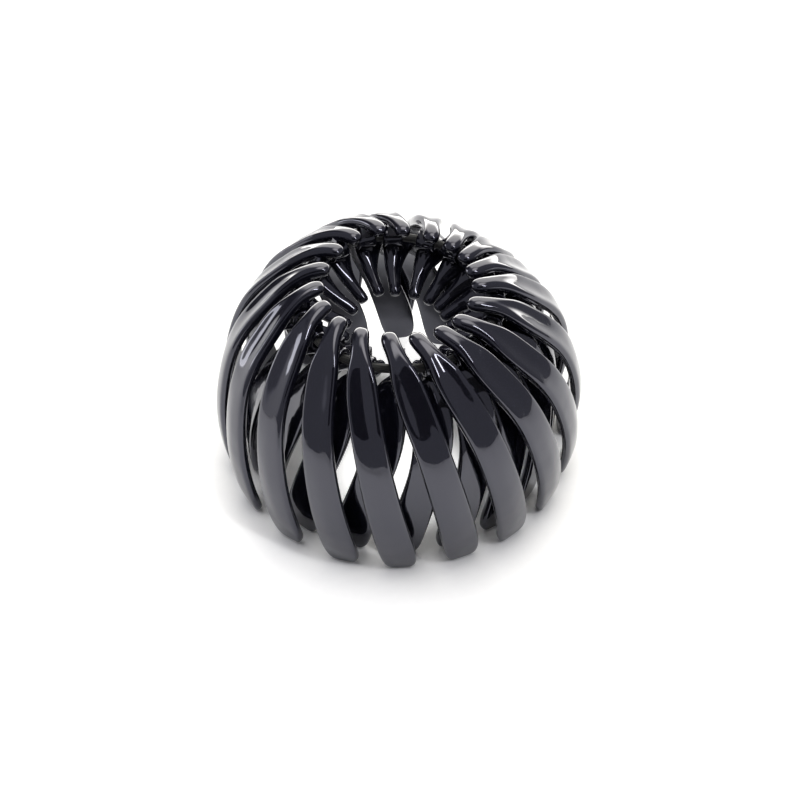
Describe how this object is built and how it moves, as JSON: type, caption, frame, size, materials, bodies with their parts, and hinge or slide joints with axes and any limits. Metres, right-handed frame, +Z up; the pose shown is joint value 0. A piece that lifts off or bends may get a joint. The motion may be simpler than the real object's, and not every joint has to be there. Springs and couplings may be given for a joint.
{
  "type": "bird nest hair clip",
  "caption": "Dome-shaped expandable hair clip: a ring of glossy black crossed double claws with free inner teeth, threaded on an elastic cord.",
  "frame": {"origin": "centre of the ring on the surface that the claw tips stand on", "axes": "+Z up along the ring's axis through the hair hole, -Y towards the pictured front, +X to its right"},
  "size_m": [0.0745, 0.0746, 0.0456],
  "materials": {
    "claw_plastic": "high gloss, moulded",
    "elastic": "satin"
  },
  "bodies": {
    "root": {"claw_01": "claw_plastic", "claw_02": "claw_plastic", "claw_03": "claw_plastic", "claw_04": "claw_plastic", "claw_05": "claw_plastic", "claw_06": "claw_plastic", "claw_07": "claw_plastic", "claw_08": "claw_plastic", "claw_09": "claw_plastic", "claw_10": "claw_plastic", "claw_11": "claw_plastic", "claw_12": "claw_plastic", "claw_13": "claw_plastic", "claw_14": "claw_plastic", "claw_15": "claw_plastic", "claw_16": "claw_plastic", "claw_17": "claw_plastic", "claw_18": "claw_plastic", "claw_19": "claw_plastic", "elastic_cord": "elastic"}
  },
  "joints": []
}
